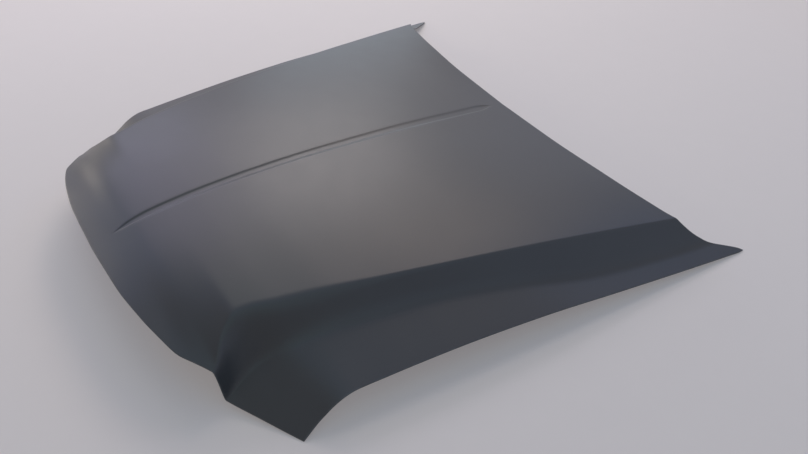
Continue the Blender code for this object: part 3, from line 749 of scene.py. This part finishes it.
# %% Primer for the frame
under = Finish("frame primer")
spot = under.place()
runs = under.noise(under.place((30.0, 2.5, 30.0)), 1.6, 3.0, 0.55)
cloud = under.noise(spot, 14.0, 4.0)
grain = under.noise(spot, 700.0, 2.0, 0.6)
thin = under.kept("lip") * under.remap(under.noise(spot, 45.0, 3.0), 0.35, 0.60, 0.3, 1.0)
body = under.mix(under.remap(cloud, 0.30, 0.70), (0.0440, 0.0480, 0.0530),
                 (0.0540, 0.0580, 0.0630))
body = under.mix(under.remap(runs, 0.52, 0.72) * 0.55, body, (0.0360, 0.0395, 0.0440))
body = under.mix(under.kept("pan") * 0.30, body, (0.0380, 0.0420, 0.0470))
body = under.mix(grain * 0.25, body, (0.0620, 0.0650, 0.0690))
body = under.mix(thin * 0.40, body, (0.130, 0.134, 0.138))
under.set({
    "Base Color": body,
    "Roughness": 0.50 + (runs - 0.5) * -0.14 + (grain - 0.5) * 0.12 - thin * 0.06,
    "Normal": under.bump(under.noise(spot, 240.0, 2.0, 0.5) * 0.7 + runs * 0.3, 0.00005),
})
pressing.data.materials.clear()
pressing.data.materials.append(under.material)

# %% Primer for the plates
plating = Finish("plate primer")
spot = plating.place()
rolled = plating.noise(plating.place((8.0, 400.0, 8.0)), 3.0, 4.0, 0.6)
cloud = plating.noise(spot, 60.0, 3.0)
body = plating.mix(plating.remap(cloud, 0.30, 0.70), (0.0430, 0.0480, 0.0530),
                   (0.0560, 0.0600, 0.0650))
body = plating.mix(plating.remap(rolled, 0.55, 0.75) * 0.4, body, (0.0800, 0.0830, 0.0870))
plating.set({
    "Base Color": body,
    "Roughness": 0.46 + (rolled - 0.5) * 0.20,
    "Normal": plating.bump(rolled * 0.6 + cloud * 0.4, 0.00004),
})

# %% Plated steel for the nuts, and mastic
steel = Finish("plated steel")
spot = steel.place()
passive = steel.noise(spot, 220.0, 3.0)
turned = steel.noise(steel.place((60.0, 60.0, 1500.0)), 3.0, 3.0, 0.6)
body = steel.mix(steel.remap(passive, 0.35, 0.65), (0.42, 0.41, 0.39), (0.46, 0.41, 0.30))
body = steel.mix(steel.remap(turned, 0.60, 0.80) * 0.5, body, (0.28, 0.27, 0.26))
steel.set({
    "Base Color": body,
    "Metallic": 1.0,
    "Roughness": 0.36 + (turned - 0.5) * 0.24 + (passive - 0.5) * 0.10,
    "Normal": steel.bump(turned, 0.00003),
})
black = Finish("mastic")
spot = black.place()
lumps = black.noise(spot, 90.0, 4.0, 0.6)
# Small pits dent the bead through the bump, and the colour below also paints them darker: painted
# shade in the pits.
pits = black.remap(black.noise(spot, 500.0, 1.0), 0.66, 0.74)
body = black.mix(black.remap(lumps, 0.30, 0.70), (0.026, 0.025, 0.024), (0.044, 0.043, 0.042))
black.set({
    "Base Color": black.mix(pits * 0.7, body, (0.012, 0.012, 0.012)),
    "Roughness": 0.80 + (lumps - 0.5) * 0.20,
    "Normal": black.bump(lumps - pits * 0.15, 0.0012),
})
finishes = {"plate": (plating, 0.0005), "nut": (steel, 0.0006), "mastic": (black, 0.0010)}
for name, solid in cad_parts.items():
    for key, (finish, bevel) in finishes.items():
        if key in name.split("_"):
            solid.data.materials.clear()
            solid.data.materials.append(finish.material)
            edges = solid.modifiers.new("edges", "BEVEL")
            edges.width, edges.segments = bevel, 3
            edges.limit_method, edges.angle_limit = "ANGLE", math.radians(35)
print("finishes under the bonnet:", ", ".join(finishes))

# %% [markdown]
# ## The studio
#
# The photograph was taken from standing height over the bonnet's front left corner, on a pale
# floor. The camera's place and its lens were found by matching edges of the bonnet, and the
# axes below are its right, its up and the way it looks.

# %% Camera at the photograph's angle
TURN, TILT = math.radians(56.87), math.radians(41.20)
CAMERA_PLACE = (1.542, -0.8665, 1.4366)
SENSOR, FOCAL_PIXELS, PICTURE_WIDTH = 36.0, 860, 808
right = Vector((math.cos(TURN), math.sin(TURN), 0))
ahead = Vector((-math.sin(TURN) * math.cos(TILT), math.cos(TURN) * math.cos(TILT),
                -math.sin(TILT)))
above = right.cross(ahead)
camera_data = bpy.data.cameras.new("camera")
camera_data.sensor_fit, camera_data.sensor_width = "HORIZONTAL", SENSOR
camera_data.lens = SENSOR * FOCAL_PIXELS / PICTURE_WIDTH
camera = bpy.data.objects.new("camera", camera_data)
camera.matrix_world = Matrix((
    (right.x, above.x, -ahead.x, CAMERA_PLACE[0]),
    (right.y, above.y, -ahead.y, CAMERA_PLACE[1]),
    (right.z, above.z, -ahead.z, CAMERA_PLACE[2]),
    (0, 0, 0, 1)))
bpy.context.scene.collection.objects.link(camera)
bpy.context.scene.camera = camera
print("camera looks down by", round(math.degrees(TILT), 1), "degrees")

# %% [markdown]
# ## Floor and backdrop
#
# A photographer's paper sweep has no edge where floor and wall meet. Here a flat floor fades
# into one pale colour with distance, and the world beyond has that same colour. So the horizon
# has no edge; from a low camera only a soft band shows where the floor fades. Light Path tells
# what kind a ray is. Rays from the camera, glossy reflections and rays through glass meet the
# backdrop's colour. Scattered rays see the plain floor and the dim fill instead. So the backdrop
# shows in the bonnet's sheen, and reaches its matt shading only by a further, glossy bounce.
# Near the bonnet the floor keeps most of its own shading, and with it the shadow.

# %% Floor
BACKDROP = (0.58, 0.53, 0.535)
FADE_FROM, FADE_TO, SHARE_NEAR, SHARE_FAR = 1.3, 3.4, 0.35, 1.0
FLOOR_HALF = 9.0
floor = add_mesh("floor", [(x * FLOOR_HALF, y * FLOOR_HALF, 0)
                           for x, y in ((-1, -1), (1, -1), (1, 1), (-1, 1))], [(0, 1, 2, 3)])
ground = Finish("studio floor")
spot = ground.place()
wash = ground.noise(spot, 0.9, 2.0)
scuff = ground.noise(spot, 14.0, 5.0, 0.6)
tone = ground.mix(wash, (0.830, 0.780, 0.740), (0.880, 0.820, 0.775))
tone = ground.mix(ground.remap(scuff, 0.35, 0.65) * 0.05, tone, (0.72, 0.68, 0.65))
ground.set({"Base Color": tone, "Roughness": 0.8, "Specular IOR Level": 0.2})
away = ground.node("VectorMath", {"operation": "LENGTH"}, {"Vector": spot}, "Value")
share = ground.remap(away, FADE_FROM, FADE_TO, SHARE_NEAR, SHARE_FAR)
ground.show_backdrop(share, "Emission", "Material Output")
floor.data.materials.append(ground.material)
print("floor is", 2 * FLOOR_HALF, "m square")

# %% [markdown]
# ## Light
#
# Soft light from beyond the bonnet and to its right skims over the plateau towards the camera,
# so the far part shines and the flank that faces the camera stays dark. That is the work of ten
# lamps. Three more, nearly three times as wide, stand overhead, towards the camera and beyond the
# left rear corner. All powers and colours were fitted together, to bring the bonnet and the floor
# near the photograph's tones. A lamp's tint therefore means little by itself: warm lamps and deep
# blue ones make up for each other, and all of them together hold about a quarter more blue than
# red. They are weak enough for the pale floor to stay below white.

# %% Lamps and world
def add_lamp(name, towards, reach, size, power, colour):
    """A square soft lamp that faces the middle of the bonnet."""
    data = bpy.data.lights.new(name, "AREA")
    data.shape, data.size = "SQUARE", size
    data.energy, data.color = power, colour
    lamp = bpy.data.objects.new(name, data)
    way = Vector(towards).normalized()
    lamp.location = way * reach + Vector((0, 0, 0.1))
    lamp.rotation_euler = way.to_track_quat("Z", "Y").to_euler()
    bpy.context.scene.collection.objects.link(lamp)


# name, direction from the bonnet, reach and size in metres, power in watts, colour
LAMPS = (
    ("low_right_rear", (-0.861, 0.477, 0.174), 4.2, 1.6, 9.1, (0.65, 0.84, 1.00)),
    ("low_front_right", (-0.844, -0.507, 0.174), 4.2, 1.6, 39.5, (1.00, 0.91, 0.82)),
    ("skim_rear_right", (-0.471, 0.783, 0.407), 4.2, 1.6, 7.0, (0.64, 0.75, 1.00)),
    ("skim_right", (-0.913, -0.016, 0.407), 4.2, 1.6, 13.9, (0.70, 0.75, 1.00)),
    ("middle_rear", (-0.014, 0.788, 0.616), 4.2, 1.6, 8.5, (0.18, 0.43, 1.00)),
    ("middle_right_rear", (-0.689, 0.382, 0.616), 4.2, 1.6, 42.4, (1.00, 0.92, 0.90)),
    ("middle_right", (-0.788, -0.014, 0.616), 4.2, 1.6, 14.1, (0.85, 0.73, 1.00)),
    ("middle_front_right", (-0.675, -0.406, 0.616), 4.2, 1.6, 8.6, (0.18, 0.39, 1.00)),
    ("high_rear_right", (-0.303, 0.504, 0.809), 4.2, 1.6, 28.1, (1.00, 0.83, 0.73)),
    ("top_right", (-0.342, -0.006, 0.940), 4.2, 1.6, 9.4, (0.95, 1.00, 0.77)),
    ("low_left_rear", (0.777, 0.467, 0.423), 5.0, 4.5, 24.1, (0.33, 0.57, 1.00)),
    ("high_camera", (0.502, -0.278, 0.819), 5.0, 4.5, 21.5, (0.45, 0.92, 1.00)),
    ("overhead", (0.000, 0.000, 1.000), 4.5, 4.5, 15.1, (0.07, 0.35, 1.00)),
)
for name, towards, reach, size, power, colour in LAMPS:
    add_lamp(name, towards, reach, size, power, colour)
FILL_COLOUR, FILL_STRENGTH = (0.90, 0.92, 1.00), 0.112
world = bpy.data.worlds.new("studio")
fill = Finish("studio", world, "Background")
fill.set({"Color": FILL_COLOUR, "Strength": FILL_STRENGTH})
fill.show_backdrop(1.0, "Background", "World Output")
bpy.context.scene.world = world
bpy.context.scene.view_settings.view_transform = "Standard"
print(len(LAMPS), "lamps")
